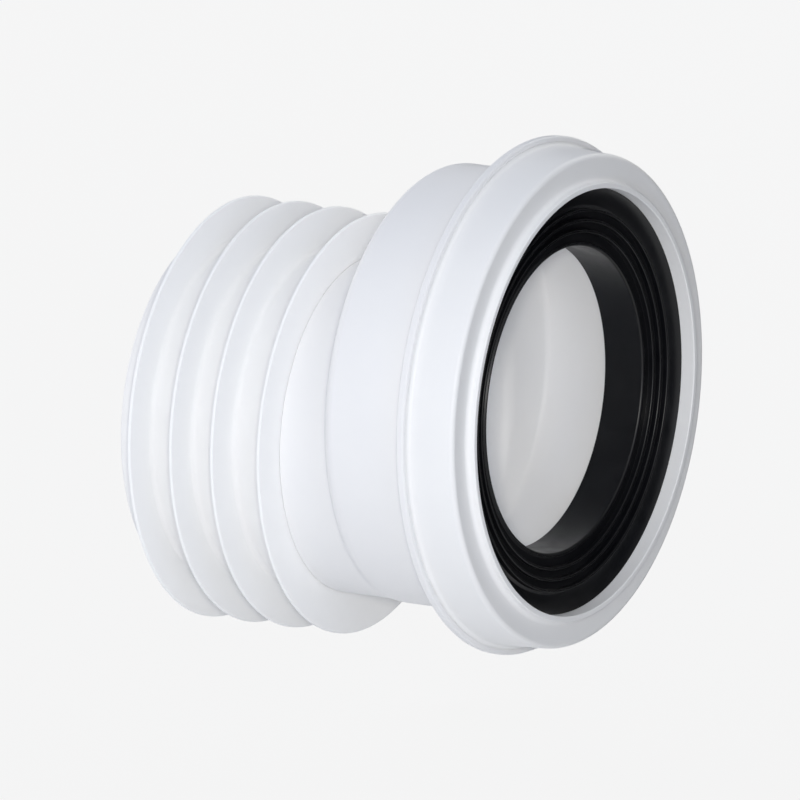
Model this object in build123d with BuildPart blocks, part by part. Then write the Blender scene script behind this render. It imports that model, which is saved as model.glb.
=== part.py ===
"""Offset pan connector: joins a WC pan's horizontal outlet to a soil pipe on a lower axis.

Frame: X runs along the socket axis with the mouth facing +X, Z is up, and the spigot leaves
towards -X on a parallel axis below. The origin is on the socket axis, in the joint face where
the retaining ring sits on the body's collar.
"""
import math
import os

from build123d import *

# Interfaces
spigot_offset = 14.0      # spigot axis below the socket axis
throat_d = 84.6           # free bore of the seal's sleeve, stretched by the pan's spout
fin_tip_d = 115.8         # free diameter of the fins, folded back by the soil pipe

# Rigid body
wall = 2.4
spigot_d = 93.0
heel_step = 0.2           # socket below the spigot along their common bottom line
socket_len = 31.55        # joint face to the shoulder's outer corner
shoulder_lean = 17.0      # flank of the shoulder at the sides, in degrees from square
shoulder_round = 4.3      # convex round of the shoulder's outer corner at the sides
neck_round = 3.0          # concave round where the shoulder runs into the neck
shoulder_steps = 6        # circles on each of the two rounds
collar_step = 2.6         # collar above the ring's band
collar_thick = 2.3
collar_edge_round = 0.6
neck_len = 17.55          # shoulder's inner corner to the fin seal
spigot_lip = 4.7          # plain lip that keeps the fin seal on
lip_height = 2.7
spigot_end_round = 0.8

# Fin seal
fin_count = 4
first_gap = 14.7          # front fin to the second one
fin_pitch = 13.0
fin_tip = 0.8
fin_root = 1.8
fin_root_round = 1.0
fin_sleeve_thick = 1.0
fin_sleeve_tail = 3.6     # sleeve behind the last fin's front face

# Retaining ring
ring_len = 13.9           # joint face to the flat front face
ring_wall = 3.0
ring_web = 3.1
ring_edge_round = 2.6
foot_round = 1.2          # hollow round where the band flares out on the collar
foot_edge = 0.4           # blunt edge of that flare
front_w = 5.9             # flat front face with its rounded edge
lip_rise = 2.4            # raised lip round the mouth, with a hollow of the same radius outside it
lip_land = 1.6
lip_edge_round = 0.3

# Snap bead that keeps the ring on the body
bead_r = 1.1
bead_height = 0.8
bead_place = 0.5          # share of the upstand's height

# Pan seal
flange_thick = 3.0
throat_depth = 4.1        # front face of the ring to the nose of the sleeve
nose_round = 0.8
sleeve_wall = 2.3
sleeve_len = 12.2
sleeve_root_round = 2.0
seal_web = 2.4
nose_land = 0.2           # flat top of the nose
nose_slope = 0.4          # nose down to the first groove
ridge_count = 3
ridge_inset = 3.95        # throat wall to the first ridge
ridge_pitch = 2.98
ridge_w = 0.8
ridge_h = 1.6
crest_rise = 1.0          # nose of the sleeve to the first ridge's crest
crest_step = 0.55         # each ridge stands this much further forward than the one inside it
land_start = 1.1          # last ridge to the hollow outer land
land_drop = 0.4           # outer land below the last ridge's groove
land_w = 5.5
edge_depth = 1.5          # front face of the ring to the seal's outer edge

fit_gap = 0.1             # clearance between round faces that are pressed or stretched together

# Sizes that follow from the ones above
spigot_r = spigot_d / 2
body_r = spigot_r + spigot_offset + heel_step
throat_r = throat_d / 2
ridge_rs = [throat_r + ridge_inset + index * ridge_pitch for index in range(ridge_count)]
land_r = ridge_rs[-1] + land_start
edge_r = land_r + land_w
mouth_r = edge_r + fit_gap
lip_r = mouth_r + lip_land
ring_r = lip_r + lip_rise + front_w
collar_r = ring_r + collar_step
ring_bore_r = ring_r - ring_wall
upstand_r = ring_bore_r - fit_gap
web_x = ring_len - ring_web
seat_x = web_x - flange_thick
bead_x = seat_x * bead_place
bead_centre_r = upstand_r + bead_height - bead_r
recess_r = spigot_r - fin_sleeve_thick - fit_gap
shoulder_run = (body_r - spigot_r) * math.tan(math.radians(shoulder_lean))
sleeve_front = -socket_len - shoulder_run - neck_len
fin_fronts = [sleeve_front]
for index in range(fin_count - 1):
    fin_fronts.append(sleeve_front - first_gap - index * fin_pitch)
sleeve_back = fin_fronts[-1] - fin_sleeve_tail
spigot_end = sleeve_back - spigot_lip
spigot_axis = Axis((0, 0, -spigot_offset), (1, 0, 0))
spigot_plane = Plane(origin=(0, 0, -spigot_offset), x_dir=(1, 0, 0), z_dir=(0, -1, 0))


def shoulder_circles(inset):
    """Circles that carry the socket over into the neck, moved inwards by the inset.

    Seen from above, the shoulder's side line is a convex round, a leaning flank and a concave round.
    Each circle's radius is read from that line, and its centre moves from the socket's axis to the
    spigot's in the same share, so all circles keep to the common bottom line.
    """
    turn = math.radians(90 - shoulder_lean)
    convex = shoulder_round - inset
    concave = neck_round + inset
    corner_x = inset * math.tan(turn / 2) - socket_len
    start_x = corner_x + convex * math.tan(turn / 2)
    end_x = corner_x - shoulder_run - concave * math.tan(turn / 2)
    turns = [turn * index / (shoulder_steps - 1) for index in range(shoulder_steps)]
    line = [(start_x - convex * math.sin(a), body_r - inset - convex * (1 - math.cos(a))) for a in turns]
    line += [
        (end_x + concave * math.sin(a), spigot_r - inset + concave * (1 - math.cos(a)))
        for a in reversed(turns)
    ]
    circles = []
    for x, radius in line:
        share = (body_r - inset - radius) / (body_r - spigot_r)
        with BuildSketch(Plane.YZ.offset(x)) as circle:
            with Locations((0, -spigot_offset * share)):
                Circle(radius)
        circles.append(circle.sketch.faces()[0])
    return line[0][0], line[-1][0], circles


# Rigid body: collar, socket, eccentric shoulder and spigot in one moulding
with BuildPart() as connector_body:
    socket_x, neck_x, circles = shoulder_circles(0)
    with BuildSketch(Plane.XZ) as socket_section:
        with BuildLine():
            Polyline(
                (socket_x, 0),
                (socket_x, body_r),
                (-collar_thick, body_r),
                (-collar_thick, collar_r),
                (0, collar_r),
                (0, upstand_r),
                (seat_x, upstand_r),
                (seat_x, 0),
                close=True,
            )
        make_face()
        collar_edges = [
            socket_section.vertices().sort_by_distance((x, collar_r))[0] for x in (-collar_thick, 0)
        ]
        fillet(collar_edges, collar_edge_round)
        with Locations((bead_x, bead_centre_r)):
            Circle(bead_r)
    revolve(axis=Axis.X)
    with BuildSketch(spigot_plane) as spigot_section:
        with BuildLine():
            Polyline(
                (neck_x, 0),
                (neck_x, spigot_r),
                (sleeve_front + fit_gap, spigot_r),
                (sleeve_front + fit_gap, recess_r),
                (sleeve_back - fit_gap, recess_r),
                (sleeve_back - fit_gap, spigot_r + lip_height),
                (spigot_end, spigot_r + lip_height),
                (spigot_end, 0),
                close=True,
            )
        make_face()
        lip_edge = (spigot_end, spigot_r + lip_height)
        fillet(spigot_section.vertices().sort_by_distance(lip_edge)[0], spigot_end_round)
    revolve(axis=spigot_axis)
    loft(circles)
    socket_x, neck_x, circles = shoulder_circles(wall)
    with BuildSketch(Plane.XZ):
        with BuildLine():
            Polyline(
                (socket_x, 0),
                (socket_x, body_r - wall),
                (0, body_r - wall),
                (0, upstand_r - wall),
                (seat_x, upstand_r - wall),
                (seat_x, 0),
                close=True,
            )
        make_face()
    revolve(axis=Axis.X, mode=Mode.SUBTRACT)
    with BuildSketch(spigot_plane):
        with BuildLine():
            Polyline(
                (spigot_end, 0),
                (spigot_end, spigot_r - wall),
                (neck_x, spigot_r - wall),
                (neck_x, 0),
                close=True,
            )
        make_face()
    revolve(axis=spigot_axis, mode=Mode.SUBTRACT)
    loft(circles, mode=Mode.SUBTRACT)

# Soft fin seal, stretched into the recess round the spigot
with BuildPart() as fin_seal:
    with BuildSketch(spigot_plane) as fin_section:
        with Locations(((sleeve_front + sleeve_back) / 2, spigot_r - fin_sleeve_thick / 2)):
            Rectangle(sleeve_front - sleeve_back, fin_sleeve_thick)
        for front in fin_fronts:
            with BuildLine():
                Polyline(
                    (front, spigot_r - fin_sleeve_thick),
                    (front, fin_tip_d / 2),
                    (front - fin_tip, fin_tip_d / 2),
                    (front - fin_root, spigot_r),
                    (front - fin_root, spigot_r - fin_sleeve_thick),
                    close=True,
                )
            make_face()
        roots = [(front - fin_root, spigot_r) for front in fin_fronts]
        roots += [(front, spigot_r) for front in fin_fronts[1:]]
        corners = [fin_section.vertices().sort_by_distance(root)[0] for root in roots]
        fillet(corners, fin_root_round)
    revolve(axis=spigot_axis)

# Retaining ring: band, web and the raised lip round the mouth
with BuildPart() as retaining_ring:
    with BuildSketch(Plane.XZ) as ring_section:
        lip_x = ring_len + lip_rise
        with BuildLine():
            hollow = JernArc((ring_len, lip_r + lip_rise), (0, -1), lip_rise, 90)
            foot = JernArc((foot_edge + foot_round, ring_r), (-1, 0), foot_round, -90)
            Polyline(
                hollow @ 1,
                (lip_x, mouth_r),
                (web_x, mouth_r),
                (web_x, ring_bore_r),
                (0, ring_bore_r),
                (0, ring_r + foot_round),
                foot @ 1,
            )
            Polyline(foot @ 0, (ring_len, ring_r), hollow @ 0)
        make_face()
        fillet(ring_section.vertices().sort_by_distance((ring_len, ring_r))[0], ring_edge_round)
        lip_edges = [ring_section.vertices().sort_by_distance((lip_x, r))[0] for r in (mouth_r, lip_r)]
        fillet(lip_edges, lip_edge_round)
        with Locations((bead_x, bead_centre_r)):
            Circle(bead_r + fit_gap, mode=Mode.SUBTRACT)
    revolve(axis=Axis.X)

# Rubber pan seal: clamped flange, hollow land, ridges and the sleeve that grips the spout
with BuildPart() as pan_seal:
    with BuildSketch(Plane.XZ) as seal_section:
        sleeve_r = throat_r + sleeve_wall
        nose_x = ring_len - throat_depth
        slope = crest_step / ridge_pitch
        floor_x = nose_x + crest_rise - ridge_h
        groove_x = floor_x + (ridge_count - 1) * crest_step
        nose_r = throat_r + nose_round + nose_land
        root_x = floor_x + (sleeve_r - ridge_rs[0]) * slope - seal_web
        with BuildLine():
            nose = JernArc((nose_x - nose_round, throat_r), (1, 0), nose_round, 90)
            Polyline(
                nose @ 1,
                (nose_x, nose_r),
                (floor_x, nose_r + nose_slope),
                (floor_x, ridge_rs[0]),
                (groove_x, ridge_rs[-1]),
                (groove_x - land_drop, land_r),
            )
            land_foot = (groove_x - land_drop, land_r)
            land = TangentArc(land_foot, (ring_len - edge_depth, edge_r), tangent=(0, 1))
            Polyline(
                land @ 1,
                (web_x, edge_r),
                (web_x, upstand_r),
                (seat_x, upstand_r),
                (seat_x, mouth_r),
                (root_x, sleeve_r),
                (nose_x - sleeve_len, sleeve_r),
                (nose_x - sleeve_len, throat_r),
                nose @ 0,
            )
        make_face()
        fillet(seal_section.vertices().sort_by_distance((root_x, sleeve_r))[0], sleeve_root_round)
        for index, ridge_r in enumerate(ridge_rs):
            round_x = nose_x + crest_rise + index * crest_step - ridge_w / 2
            with Locations((round_x, ridge_r)):
                Circle(ridge_w / 2)
            with Locations((round_x - ridge_h / 2, ridge_r)):
                Rectangle(ridge_h, ridge_w)
    revolve(axis=Axis.X)

os.makedirs("parts", exist_ok=True)
connector_body.part.label = "connector_body"
export_step(connector_body.part, "parts/connector_body.step")
fin_seal.part.label = "fin_seal"
export_step(fin_seal.part, "parts/fin_seal.step")
pan_seal.part.label = "pan_seal"
export_step(pan_seal.part, "parts/pan_seal.step")
retaining_ring.part.label = "retaining_ring"
export_step(retaining_ring.part, "parts/retaining_ring.step")
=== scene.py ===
# %% [markdown]
# # An offset pan connector
# The part joins a toilet pan's outlet to a soil pipe. It is four mouldings: a rigid white body, a
# white retaining ring, a black rubber seal under that ring, and a soft white seal with disc fins
# round the spigot. The imported CAD model is loaded first, as a fixed frame in metres: +X out of the
# mouth, +Z up, and the origin on the socket's axis where ring and collar meet.

# %% Load the frame
import math

import bpy
import numpy as np
from mathutils import Matrix, Vector


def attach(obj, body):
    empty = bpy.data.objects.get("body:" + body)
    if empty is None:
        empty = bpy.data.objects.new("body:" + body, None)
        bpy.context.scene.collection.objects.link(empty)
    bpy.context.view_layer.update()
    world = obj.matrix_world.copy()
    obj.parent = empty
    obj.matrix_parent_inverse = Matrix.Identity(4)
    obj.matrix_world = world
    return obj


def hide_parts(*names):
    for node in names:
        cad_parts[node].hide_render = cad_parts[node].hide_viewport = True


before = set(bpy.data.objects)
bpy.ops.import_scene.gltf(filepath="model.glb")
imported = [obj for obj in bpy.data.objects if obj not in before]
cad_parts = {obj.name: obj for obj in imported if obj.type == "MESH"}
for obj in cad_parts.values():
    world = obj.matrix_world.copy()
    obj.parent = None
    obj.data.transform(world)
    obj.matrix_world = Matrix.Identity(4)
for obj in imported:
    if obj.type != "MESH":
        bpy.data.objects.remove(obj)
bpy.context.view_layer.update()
print("nodes:", sorted(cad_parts))

# %% [markdown]
# ## Camera
# A product picture like this one is taken from far away with a long lens, so parallel edges stay
# parallel. An orthographic camera gives exactly that. It stands 30 degrees round from the side
# towards the mouth and 13 degrees up. Its three axes are worked out from those two angles, and the
# ortho scale is simply the width of the picture in metres. The picture's middle lies to the left of
# the ring's front face, so that the whole part is in view.

# %% Camera
MM = 0.001
AZIMUTH, ELEVATION = math.radians(30.24), math.radians(13.1)
PICTURE_PIXELS, PIXELS_PER_MM = 800, 3.6595
FACE_X, AIM_LEFT, AIM_UP = 13.3, 48.2, 0.32
CAMERA_AWAY = 1.2


def placed(name, data):
    """A new object of that data, linked into the scene at the origin."""
    made = bpy.data.objects.new(name, data)
    bpy.context.scene.collection.objects.link(made)
    return made


right = np.array([math.cos(AZIMUTH), math.sin(AZIMUTH), 0.0])
back = np.array([math.sin(AZIMUTH) * math.cos(ELEVATION),
                 -math.cos(AZIMUTH) * math.cos(ELEVATION), math.sin(ELEVATION)])
up = np.cross(back, right)
aim = MM * (np.array([FACE_X, 0.0, 0.0]) - AIM_LEFT * right + AIM_UP * up)
camera_data = bpy.data.cameras.new("camera")
camera_data.type = "ORTHO"
camera_data.ortho_scale = MM * PICTURE_PIXELS / PIXELS_PER_MM
camera = placed("camera", camera_data)
axes = np.column_stack([right, up, back, aim + CAMERA_AWAY * back])
camera.matrix_world = Matrix(np.vstack([axes, [0, 0, 0, 1]]))
bpy.context.scene.camera = camera
print("picture width in mm:", round(camera_data.ortho_scale / MM, 1))

# %% [markdown]
# ## Nodes and colours
# Each material below is a small node tree. One helper adds a node, sets its properties and its
# inputs, and links an input when it is given a socket instead of a number. Colours are written as
# the hex values that a colour picker shows, and are turned to linear light once, here.

# %% Node and colour helpers
def linear(code):
    """Linear RGBA of an sRGB hex code: divided by 12.92 when low, else a power of 2.4."""
    c = np.array([int(code[i:i + 2], 16) for i in (1, 3, 5)]) / 255
    return (*np.where(c <= 0.04045, c / 12.92, ((c + 0.055) / 1.055) ** 2.4), 1.0)


def node(tree, kind, inputs=None, **settings):
    """A new node with its settings; each input takes a value, or a link where a socket is given."""
    made = tree.nodes.new(kind)
    for key, value in settings.items():
        setattr(made, key, value)
    for key, value in (inputs or {}).items():
        if isinstance(value, bpy.types.NodeSocket):
            tree.links.new(value, made.inputs[key])
        else:
            made.inputs[key].default_value = value
    return made


def per_metre(size_mm):
    """Scale of a noise texture whose features are size_mm across, on coordinates in metres."""
    return 1 / (size_mm * MM)


print("mid grey, linear:", round(linear("#808080")[0], 3))

# %% [markdown]
# ## The white plastic
# Body and ring are injection moulded in white polypropylene. The mould is smooth but not polished,
# so the surface is satin: a broad, weak highlight, with a faint cloudiness where the melt cooled at
# different speeds. A wide noise moves the colour by a few steps of grey and the gloss by a little,
# and a fine noise gives the skin its slight unevenness as a bump of a hundredth of a millimetre.
# Light goes a short way into this plastic, so a little subsurface scattering softens thin edges.

# %% White polypropylene
NOISE_LOW, NOISE_HIGH = 0.3, 0.7


def moulded(name, pale, deep, cloud_mm, skin_mm, gloss, skin_depth_mm, shader_inputs):
    """Material of a moulding: cloudy colour and gloss, and an uneven skin.

    Colour goes from deep to pale with a wide noise, roughness goes from gloss[0] to gloss[1] with
    the same noise over the range where most of its values lie, and the bump follows a fine noise
    of skin_mm grain.
    """
    material = bpy.data.materials.new(name)
    material.use_nodes = True
    tree = material.node_tree
    shader = tree.nodes["Principled BSDF"]
    place = node(tree, "ShaderNodeTexCoord").outputs["Object"]
    cloud = node(tree, "ShaderNodeTexNoise",
                 {"Vector": place, "Scale": per_metre(cloud_mm), "Detail": 3.0, "Roughness": 0.55})
    skin = node(tree, "ShaderNodeTexNoise",
                {"Vector": place, "Scale": per_metre(skin_mm), "Detail": 2.0, "Roughness": 0.6})
    colour = node(tree, "ShaderNodeMix", {"Factor": cloud.outputs["Fac"], "A": linear(deep),
                                          "B": linear(pale)}, data_type="RGBA")
    rough = node(tree, "ShaderNodeMapRange",
                 {"Value": cloud.outputs["Fac"], "From Min": NOISE_LOW, "From Max": NOISE_HIGH,
                  "To Min": gloss[0], "To Max": gloss[1]})
    bump = node(tree, "ShaderNodeBump",
                {"Height": skin.outputs["Fac"], "Strength": 1.0, "Distance": skin_depth_mm * MM})
    tree.links.new(colour.outputs["Result"], shader.inputs["Base Color"])
    tree.links.new(rough.outputs["Result"], shader.inputs["Roughness"])
    tree.links.new(bump.outputs["Normal"], shader.inputs["Normal"])
    for key, value in shader_inputs.items():
        shader.inputs[key].default_value = value
    print(name, "nodes:", len(tree.nodes))
    return material


# satin polypropylene: nearly white with weak highlights, the ring's colour a little whiter than the
# body's
SATIN = {"cloud_mm": 14, "skin_mm": 1.6, "gloss": (0.40, 0.50), "skin_depth_mm": 0.012,
         "shader_inputs": {"IOR": 1.49, "Specular IOR Level": 0.26, "Subsurface Weight": 0.15,
                           "Subsurface Radius": (1, 1, 1), "Subsurface Scale": 0.3 * MM}}
body_plastic = moulded("white polypropylene", "#F2F2F2", "#EFEFF0", **SATIN)
ring_plastic = moulded("white polypropylene ring", "#F6F6F5", "#F3F3F3", **SATIN)

# %% [markdown]
# ## The soft white
# The fins have to fold in the soil pipe, so they are a soft white elastomer. It is more matt than
# the hard plastic and lets more light through, so a thin fin glows a little when lit from behind.

# %% White elastomer
# soft elastomer: matt white, and thin fins are softly lit from within
white_elastomer = moulded(
    "white elastomer", "#F7F7F6", "#F4F4F4", cloud_mm=9, skin_mm=0.9, gloss=(0.46, 0.56),
    skin_depth_mm=0.010,
    shader_inputs={"IOR": 1.48, "Specular IOR Level": 0.2, "Subsurface Weight": 0.8,
                   "Subsurface Radius": (1, 1, 1), "Subsurface Scale": 1.3 * MM})

# %% [markdown]
# ## The black rubber
# The pan seal is moulded EPDM, black through and through. It has almost no colour of its own: what
# the eye sees is the weak gloss of its skin, grey where it mirrors something bright and black in
# the grooves. So the base is nearly black, and roughness and skin carry the look.

# %% Black rubber
# moulded rubber: nearly black, with a weak gloss
black_rubber = moulded(
    "black rubber", "#0D0E12", "#08090C", cloud_mm=6, skin_mm=0.7, gloss=(0.30, 0.42),
    skin_depth_mm=0.010, shader_inputs={"IOR": 1.52, "Specular IOR Level": 0.3})

# %% [markdown]
# ## Profiles and turned shapes
# Every piece is turned: a closed profile carried round an axis along X. A profile is written as a
# list of corners, each with the radius of its round, as on a workshop drawing. A Bevel modifier
# could round the edges too, but here the radii are known, so the arcs are worked out directly and
# the shape has exactly the points it needs.

# %% Profile helper
ARC_STEPS = 8


def rounded(corners, steps=ARC_STEPS, guard=0.15):
    """Closed profile from (x, r, radius) corners, in mm.

    At each corner the two runs are cut back by radius * tan(turn / 2) and joined by an arc of that
    radius. A guard point lies on each run next to the arc, so that the smooth shading of a round
    doesn't spread over the flat beside it. It lies guard mm on, or a fifth of what is left of the
    run where that is less. So a corner gives steps + 2 points.
    """
    corners = np.asarray(corners, float)
    here, radius = corners[:, :2], corners[:, 2:]
    a, b = np.roll(here, 1, 0) - here, np.roll(here, -1, 0) - here
    run_a, run_b = (np.linalg.norm(v, axis=1, keepdims=True) for v in (a, b))
    a, b = a / run_a, b / run_b
    turn = math.pi - np.arccos(np.clip(np.sum(a * b, 1, keepdims=True), -1, 1))
    cut = radius * np.tan(turn / 2)
    middle = a + b
    middle = middle / np.linalg.norm(middle, axis=1, keepdims=True)
    centre = here + middle * radius / np.cos(turn / 2)
    start, end = here + a * cut - centre, here + b * cut - centre
    side = np.stack([-start[:, 1], start[:, 0]], -1)
    side = side * np.sign(np.sum(side * end, 1, keepdims=True))
    angle = turn[:, None, :] * np.linspace(0, 1, steps)[None, :, None]
    arc = centre[:, None] + np.cos(angle) * start[:, None] + np.sin(angle) * side[:, None]
    guard_a, guard_b = (np.minimum(guard, 0.2 * np.abs(run - cut)) for run in (run_a, run_b))
    before, after = here + a * (cut + guard_a), here + b * (cut + guard_b)
    return np.concatenate([before[:, None], arc, after[:, None]], 1).reshape(-1, 2)


square = rounded([(0, 1, 0.1), (1, 1, 0.1), (1, 2, 0.1), (0, 2, 0.1)])
print("points on a rounded square:", len(square))

# %% [markdown]
# The grid of a turned piece has one row for each profile point and one column for each angle. Rows
# and columns both close on themselves, so the skin has no seam and no open edge. Each row is a
# circle with its own height of the axis, which the eccentric shoulder needs later.

# %% Turned skin
TURNS = 288
ROUND = 2 * math.pi * np.arange(TURNS) / TURNS


def turned(name, x, radius, axis_z=0.0):
    """Mesh of a closed turned skin, in mm.

    Row i is a circle at x[i] with the radius radius[i], round an axis along X at the height
    axis_z[i]; point k of the row lies in the direction of the angle k, measured from the top. The
    rows are put in the order that turns the faces outwards.
    """
    x, radius, axis_z = (np.array(v) for v in np.broadcast_arrays(x, radius, axis_z))
    if np.sum(x * np.roll(radius, -1) - np.roll(x, -1) * radius) > 0:
        x, radius, axis_z = x[::-1], radius[::-1], axis_z[::-1]
    place = np.empty((len(x), TURNS, 3))
    place[..., 0] = x[:, None]
    place[..., 1] = radius[:, None] * np.sin(ROUND)
    place[..., 2] = axis_z[:, None] + radius[:, None] * np.cos(ROUND)
    index = np.arange(len(x) * TURNS).reshape(len(x), TURNS)
    along, around = np.roll(index, -1, 0), np.roll(index, -1, 1)
    quads = np.stack([index, along, np.roll(along, -1, 1), around], -1).reshape(-1, 4)
    mesh = bpy.data.meshes.new(name)
    mesh.from_pydata(place.reshape(-1, 3) * MM, [], quads)
    mesh.shade_smooth()
    print(name, "faces:", len(quads))
    return placed(name, mesh)


def stands_for(piece, node_name, material):
    """The piece takes the place of its CAD node, rides on the one body and gets its material."""
    piece.data.materials.append(material)
    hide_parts(node_name)
    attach(piece, "root")


# %% [markdown]
# ## Retaining ring
# The ring is a white cap that snaps over the front of the socket and clamps the seal. Its band
# flares out softly where it sits on the collar and narrows a little towards the front, as a moulded
# wall does so that it leaves the mould. Its front edge is rounded, its front face is flat, and a
# raised lip stands round the mouth. Outside the lip the face rises in a hollow sweep. Both hollows
# are just corners with a large radius.

# %% Retaining ring
MOUTH_R, RING_R, RING_FRONT_R = 58.91, 68.81, 68.1
RING_LEN, RING_WALL, RING_WEB = 13.9, 3.0, 3.1
FOOT_RISE, FOOT_EDGE, FOOT_HOLLOW = 1.2, 0.08, 1.12
LIP_RISE, LIP_LAND, LIP_HOLLOW, LIP_ROUND = 2.4, 1.6, 1.4, 0.3
FRONT_EDGE_ROUND, INNER_ROUND = 1.4, 0.2
RING_BORE_R, FOOT_R = RING_R - RING_WALL, RING_R + FOOT_RISE
LIP_X, LIP_R = RING_LEN + LIP_RISE, MOUTH_R + LIP_LAND
WEB_X = RING_LEN - RING_WEB
ring_line = rounded([
    (0, RING_BORE_R, INNER_ROUND), (0, FOOT_R, 0.02), (FOOT_EDGE, FOOT_R, 0.03),
    (FOOT_EDGE, RING_R, FOOT_HOLLOW), (RING_LEN, RING_FRONT_R, FRONT_EDGE_ROUND),
    (RING_LEN, LIP_R, LIP_HOLLOW), (LIP_X, LIP_R, LIP_ROUND), (LIP_X, MOUTH_R, LIP_ROUND),
    (WEB_X, MOUTH_R, INNER_ROUND), (WEB_X, RING_BORE_R, INNER_ROUND)])
ring = turned("retaining_ring_moulding", ring_line[:, 0], ring_line[:, 1])
stands_for(ring, "retaining_ring", ring_plastic)

# %% [markdown]
# ## Connector body
# The body is a wide socket with a thin collar at its front and a narrower spigot behind, whose axis
# lies 14 mm lower. An eccentric shoulder joins the two. Socket and spigot share their bottom line
# to a fifth of a millimetre, so the shoulder is steep at the top and dies out towards the bottom.
#
# Two round shapes on different axes could be joined with a Boolean and a Bevel, but a bevel fails
# where the step runs out to nothing. A family of circles does it without trouble: from socket to
# neck the radius shrinks along a smooth side line, and the centre sinks in the same share.

# %% The eccentric shoulder
WALL, SPIGOT_R, DROP, HEEL_STEP = 2.4, 46.5, 14.0, 0.2
BODY_R = SPIGOT_R + DROP + HEEL_STEP
SOCKET_LEN, SHOULDER_ROUND, NECK_ROUND = 31.55, 4.3, 3.0
SHOULDER_LEAN = 17
SHOULDER_TURN = math.radians(90 - SHOULDER_LEAN)
SHOULDER_RUN = (BODY_R - SPIGOT_R) / math.tan(SHOULDER_TURN)


def shoulder(inset, steps=16):
    """Rows (x, radius, axis height) of the shoulder from socket to neck, moved in by the inset.

    The side line is a convex arc, a leaning flank and a concave arc. A row's share is how far its
    radius has come from socket to neck, and its axis has sunk by that share of the drop.
    """
    convex, concave = SHOULDER_ROUND - inset, NECK_ROUND + inset
    half = math.tan(SHOULDER_TURN / 2)
    corner = inset * half - SOCKET_LEN
    turn = np.linspace(0, SHOULDER_TURN, steps)
    flank = np.linspace(0, 1, 6)[1:-1]
    x = np.concatenate([corner + convex * (half - np.sin(turn)),
                        corner - SHOULDER_RUN - concave * (half - np.sin(turn[::-1]))])
    radius = np.concatenate([BODY_R - inset - convex * (1 - np.cos(turn)),
                             SPIGOT_R - inset + concave * (1 - np.cos(turn[::-1]))])
    x = np.insert(x, steps, x[steps - 1] + flank * (x[steps] - x[steps - 1]))
    fall = radius[steps] - radius[steps - 1]
    radius = np.insert(radius, steps, radius[steps - 1] + flank * fall)
    share = (BODY_R - inset - radius) / (BODY_R - SPIGOT_R)
    return np.stack([x, radius, -DROP * share], -1)


outside, inside = shoulder(0), shoulder(WALL)
print("shoulder rows:", len(outside), "x from and to:", outside[[0, -1], 0].round(2))

# %% [markdown]
# The rest of the body is turned about one axis or the other. At the front an upstand carries the
# ring, and the collar is its stop. The spigot has a shallow recess that holds the soft fins, and a
# lip at its end keeps them on.

# %% Connector body
FIT_GAP, SEAM_GAP = 0.1, 0.02
FLANGE, COLLAR_STEP, COLLAR_LEN = 3.0, 2.6, 2.3
NECK_LEN, LAST_ROOM, END_LEN, END_STEP, SLEEVE_WALL = 17.55, 3.6, 4.7, 2.7, 1.0
SOCKET_MID, NECK_MID = -9.0, -45.0
UPSTAND_R = RING_BORE_R - FIT_GAP
SEAT_X = WEB_X - FLANGE
COLLAR_R = RING_R + COLLAR_STEP
SLEEVE_FRONT = -SOCKET_LEN - SHOULDER_RUN - NECK_LEN
FIN_FRONTS = SLEEVE_FRONT - np.array([0, 14.7, 27.7, 40.7])
SLEEVE_BACK = FIN_FRONTS[-1] - LAST_ROOM
SPIGOT_END = SLEEVE_BACK - END_LEN
SLEEVE_R, END_R = SPIGOT_R - SLEEVE_WALL, SPIGOT_R + END_STEP
RECESS_R = SLEEVE_R - FIT_GAP


def open_rows(corners, axis_z):
    """Rows of an open run of rounded corners: the first and the last corner only give direction."""
    line = rounded(corners)[ARC_STEPS + 2:-ARC_STEPS - 2]
    return np.column_stack([line, np.full(len(line), axis_z)])


socket_rows = open_rows([
    (SOCKET_MID, BODY_R - WALL, 0), (0, BODY_R - WALL, 0.3), (0, UPSTAND_R - WALL, 0.3),
    (SEAT_X, UPSTAND_R - WALL, 0.3), (SEAT_X, UPSTAND_R, 0.3), (0, UPSTAND_R, 0.2),
    (0, COLLAR_R, 0.6), (-COLLAR_LEN, COLLAR_R, 0.6), (-COLLAR_LEN, BODY_R, 0.5),
    (SOCKET_MID, BODY_R, 0)], 0.0)
spigot_rows = open_rows([
    (NECK_MID, SPIGOT_R, 0), (SLEEVE_FRONT + SEAM_GAP, SPIGOT_R, 0.03),
    (SLEEVE_FRONT + SEAM_GAP, RECESS_R, 0.1), (SLEEVE_BACK - FIT_GAP, RECESS_R, 0.1),
    (SLEEVE_BACK - FIT_GAP, END_R, 0.3), (SPIGOT_END, END_R, 0.8),
    (SPIGOT_END, SPIGOT_R - WALL, 0.6), (NECK_MID, SPIGOT_R - WALL, 0)], -DROP)
body_rows = np.vstack([socket_rows, outside, spigot_rows, inside[::-1]])
body = turned("connector_body_moulding", *body_rows.T)
stands_for(body, "connector_body", body_plastic)

# %% [markdown]
# ## Fin seal
# Four thin discs stand on a thin sleeve that is stretched into the spigot's recess. Each fin is a
# little thicker at its root and flows into the sleeve with a round, so that it bends there when the
# soil pipe folds it back. Its rim is rounded at the front and nearly sharp at the back, where the
# two halves of the mould part. Only the front fin meets the hard neck without a round.

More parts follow.
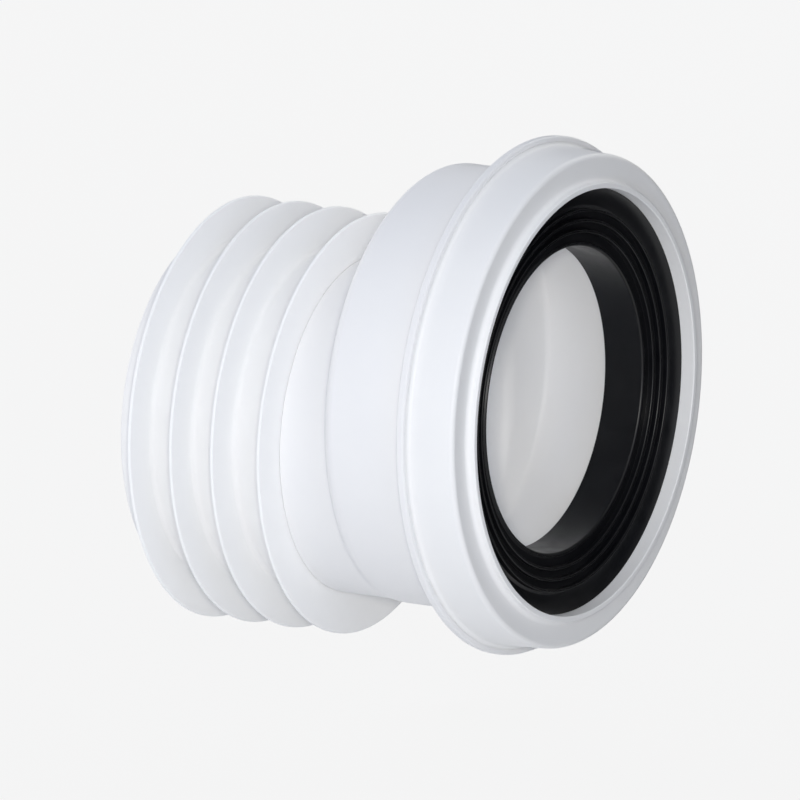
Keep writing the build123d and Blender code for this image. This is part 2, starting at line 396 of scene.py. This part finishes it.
# %% Fin seal
FIN_R, FIN_TIP, FIN_ROOT = 57.9, 0.8, 1.8
FRONT_ROUND, BACK_ROUND = 1.6, 1.2
RIM_FRONT, RIM_BACK = 0.5, 0.1
one_fin = [(0, SPIGOT_R, FRONT_ROUND), (0, FIN_R, RIM_FRONT), (-FIN_TIP, FIN_R, RIM_BACK),
           (-FIN_ROOT, SPIGOT_R, BACK_ROUND)]
fin_corners = np.array([one_fin] * len(FIN_FRONTS))
fin_corners[..., 0] += FIN_FRONTS[:, None]
fin_corners = fin_corners.reshape(-1, 3)[1:]
fin_line = rounded(np.vstack([
    (SLEEVE_FRONT, SLEEVE_R, 0.1), fin_corners, (SLEEVE_BACK, SPIGOT_R, 0.3),
    (SLEEVE_BACK, SLEEVE_R, 0.1)]))
fins = turned("fin_seal_moulding", fin_line[:, 0], fin_line[:, 1], axis_z=-DROP)
stands_for(fins, "fin_seal", white_elastomer)

# %% [markdown]
# ## Pan seal
# The rubber seal is clamped between ring and upstand. From its outer edge a hollow land falls
# inwards, then come three thin ridges, each standing a little deeper, and last the small rounded
# nose of the sleeve that grips the pan's spout. Every round is again a corner with its radius. The
# hollow land is one wide arc that starts square to the axis and ends at the seal's outer edge.

# %% Pan seal
THROAT_R, THROAT_WALL, THROAT_LEN, THROAT_DEPTH = 42.3, 2.3, 12.2, 4.1
RIDGE_H, RIDGE_W, RIDGE_INSET, RIDGE_PITCH = 1.6, 0.8, 4.2, 2.98
CREST_RISE, CREST_STEP, CREST_ROUND, GROOVE_ROUND = 1.0, 0.55, 0.36, 0.04
NOSE_ROUND, NOSE_W, NOSE_FOOT, SEAL_WEB, ROOT_ROUND = 0.8, 1.0, 1.4, 2.7, 2.0
LAND_START, LAND_DROP, EDGE_DEPTH, LAND_SHARE = 1.1, 0.4, 1.5, 0.96
count = np.arange(3)
nose_x = RING_LEN - THROAT_DEPTH
ridge_r = THROAT_R + RIDGE_INSET + RIDGE_PITCH * count
crest_x = nose_x + CREST_RISE + CREST_STEP * count
groove_x = crest_x - RIDGE_H
inner_r, outer_r = ridge_r - RIDGE_W / 2, ridge_r + RIDGE_W / 2
foot_round, crest_round = np.full(3, GROOVE_ROUND), np.full(3, CREST_ROUND)
ridge_corners = np.array([
    (groove_x, inner_r, foot_round), (crest_x, inner_r, crest_round),
    (crest_x, outer_r, crest_round), (groove_x, outer_r, foot_round)])
ridge_corners = ridge_corners.transpose(2, 0, 1).reshape(-1, 3)
land_x, land_r = groove_x[-1] - LAND_DROP, ridge_r[-1] + LAND_START
edge_x, edge_r = RING_LEN - EDGE_DEPTH, MOUTH_R - FIT_GAP
rise = math.atan2(edge_x - land_x, edge_r - land_r)
land_bend = math.hypot(edge_x - land_x, edge_r - land_r) / (2 * math.cos(rise))
back_x, back_r = nose_x - THROAT_LEN, THROAT_R + THROAT_WALL
seal_line = rounded(np.vstack([
    (back_x, THROAT_R, 0.3), (nose_x, THROAT_R, NOSE_ROUND), (nose_x, THROAT_R + NOSE_W, 0.15),
    (groove_x[0], THROAT_R + NOSE_FOOT, 0.2), ridge_corners, (land_x, land_r + 0.1, 0.3),
    (land_x, land_r + land_bend, LAND_SHARE * land_bend / math.tan(rise)),
    (edge_x, edge_r, 0.1), (WEB_X, edge_r, 0.1), (WEB_X, UPSTAND_R, 0.3),
    (SEAT_X, UPSTAND_R, 0.3), (SEAT_X, MOUTH_R, 0.5),
    (groove_x[0] - SEAL_WEB, back_r, ROOT_ROUND), (back_x, back_r, 0.3)]), steps=ARC_STEPS + 1)
seal = turned("pan_seal_moulding", seal_line[:, 0], seal_line[:, 1])
stands_for(seal, "pan_seal", black_rubber)

# %% [markdown]
# ## Floor and background
# The picture's background is an even, very pale grey with no shadow in view. The floor is a large
# pale sheet well below the part, so its soft shadow falls under the picture. What the camera and
# the reflections see of floor and surroundings is nearly that one grey, by the Light Path node. A
# small share of the floor's own shading stays, so that it keeps a trace of the shadow. The part
# itself is lit by the plain level of the world and the lamps.

# %% Floor and world
BACKDROP = linear("#F5F5F5")
FLOOR_Z, FLOOR_HALF = -0.19, 2.0
EVEN_SHARE, EVEN_LEVEL = 0.96, 1.008
ROOM_LEVEL = 0.59


def sheet(name, corners):
    """A flat sheet with one face between four corners, in metres."""
    mesh = bpy.data.meshes.new(name)
    mesh.from_pydata(corners, [], [(0, 1, 2, 3)])
    return placed(name, mesh)


def seen_directly(tree):
    """Factor that is 1 for camera, glossy and transmission rays and 0 for the light on surfaces."""
    path = node(tree, "ShaderNodeLightPath")
    one = node(tree, "ShaderNodeMath", {0: path.outputs["Is Camera Ray"],
                                        1: path.outputs["Is Glossy Ray"]}, operation="MAXIMUM")
    two = node(tree, "ShaderNodeMath", {0: one.outputs[0],
                                        1: path.outputs["Is Transmission Ray"]},
               operation="MAXIMUM")
    return two.outputs[0]


floor = sheet("floor", [(FLOOR_HALF * x, FLOOR_HALF * y, FLOOR_Z)
                        for x, y in ((-1, -1), (1, -1), (1, 1), (-1, 1))])
floor_paper = bpy.data.materials.new("pale backdrop paper")
floor_paper.use_nodes = True
tree = floor_paper.node_tree
matt = node(tree, "ShaderNodeBsdfDiffuse", {"Color": linear("#EDEDED")})
even = node(tree, "ShaderNodeEmission", {"Color": BACKDROP, "Strength": EVEN_LEVEL})
share = node(tree, "ShaderNodeMath", {0: seen_directly(tree), 1: EVEN_SHARE},
             operation="MULTIPLY")
mixed = node(tree, "ShaderNodeMixShader",
             {0: share.outputs[0], 1: matt.outputs[0], 2: even.outputs[0]})
tree.links.new(mixed.outputs[0], tree.nodes["Material Output"].inputs["Surface"])
floor.data.materials.append(floor_paper)

world = bpy.data.worlds.new("studio")
bpy.context.scene.world = world
world.use_nodes = True
tree = world.node_tree
shown = node(tree, "ShaderNodeBackground", {"Color": BACKDROP, "Strength": 1.0})
room = node(tree, "ShaderNodeBackground", {"Color": linear("#E3EAF9"), "Strength": ROOM_LEVEL})
mixed = node(tree, "ShaderNodeMixShader",
             {0: seen_directly(tree), 1: room.outputs[0], 2: shown.outputs[0]})
tree.links.new(mixed.outputs[0], tree.nodes["World Output"].inputs["Surface"])
print("floor at", FLOOR_Z, "m, world level", ROOM_LEVEL)

# %% [markdown]
# ## Light
# Six soft boxes light the part. The main one stands beside the camera, so that light also falls
# into the mouth and between the fins. The right one lifts the front face and the inside, the low
# one the undersides, the left one the sides of the fins, and the rear and end ones the back.
#
# An upright dark screen close behind the part on the right is a photographer's trick: it gives the
# black rubber something dark to mirror, so that its ridges stand out as fine bright lines. The
# camera doesn't see the screen, and it casts no shadow.

# %% Lamps and dark screen
# name, metres away, degrees round from the side and up, metres wide, watts, tint
LAMPS = [("camera_softbox", 4.0, 29.6, 13.6, 0.3, 66.0, "#FFFBF3"),
         ("right_softbox", 2.2, 46, 20, 0.8, 2.6, "#CDDFFF"),
         ("low_softbox", 1.9, 24, -3, 0.25, 2.0, "#CDDFFF"),
         ("left_softbox", 1.9, -72, 4, 0.6, 4.2, "#FFFCF6"),
         ("rear_softbox", 1.9, 180, 24, 1.2, 14.0, "#FFFCF6"),
         ("end_softbox", 2.2, -104, 6.5, 1.0, 9.0, "#FFFCF6")]
for lamp_name, distance, round_deg, up_deg, size, power, tint in LAMPS:
    turn, tilt = math.radians(round_deg), math.radians(up_deg)
    spot = distance * np.array([math.sin(turn) * math.cos(tilt),
                                -math.cos(turn) * math.cos(tilt), math.sin(tilt)])
    lamp_data = bpy.data.lights.new(lamp_name, "AREA")
    lamp_data.shape = "SQUARE"
    lamp_data.size, lamp_data.energy = size, power
    lamp_data.color = linear(tint)[:3]
    lamp = placed(lamp_name, lamp_data)
    lamp.location = spot
    lamp.rotation_euler = Vector(spot).to_track_quat("Z", "Y").to_euler()
    print(lamp_name, "at", np.round(spot, 2), "watts", power)
SCREEN_AWAY, SCREEN_FROM, SCREEN_TO, SCREEN_TOP = 0.2, -0.4, 0.6, 0.3
# level directions: from the part to the screen, and along the screen
screen_way, screen_side = np.array([0.504, 0.864, 0.0]), np.array([0.864, -0.504, 0.0])
screen = sheet("dark_screen", [
    SCREEN_AWAY * screen_way + across * screen_side + (0, 0, height)
    for across, height in ((SCREEN_FROM, FLOOR_Z), (SCREEN_TO, FLOOR_Z),
                           (SCREEN_TO, SCREEN_TOP), (SCREEN_FROM, SCREEN_TOP))])
screen.visible_camera = False
screen.visible_shadow = False
dark_cloth = bpy.data.materials.new("dark screen cloth")
dark_cloth.use_nodes = True
cloth_shader = dark_cloth.node_tree.nodes["Principled BSDF"]
cloth_shader.inputs["Base Color"].default_value = linear("#1C1D20")
cloth_shader.inputs["Roughness"].default_value = 0.9
screen.data.materials.append(dark_cloth)
bpy.context.scene.view_settings.view_transform = "Standard"
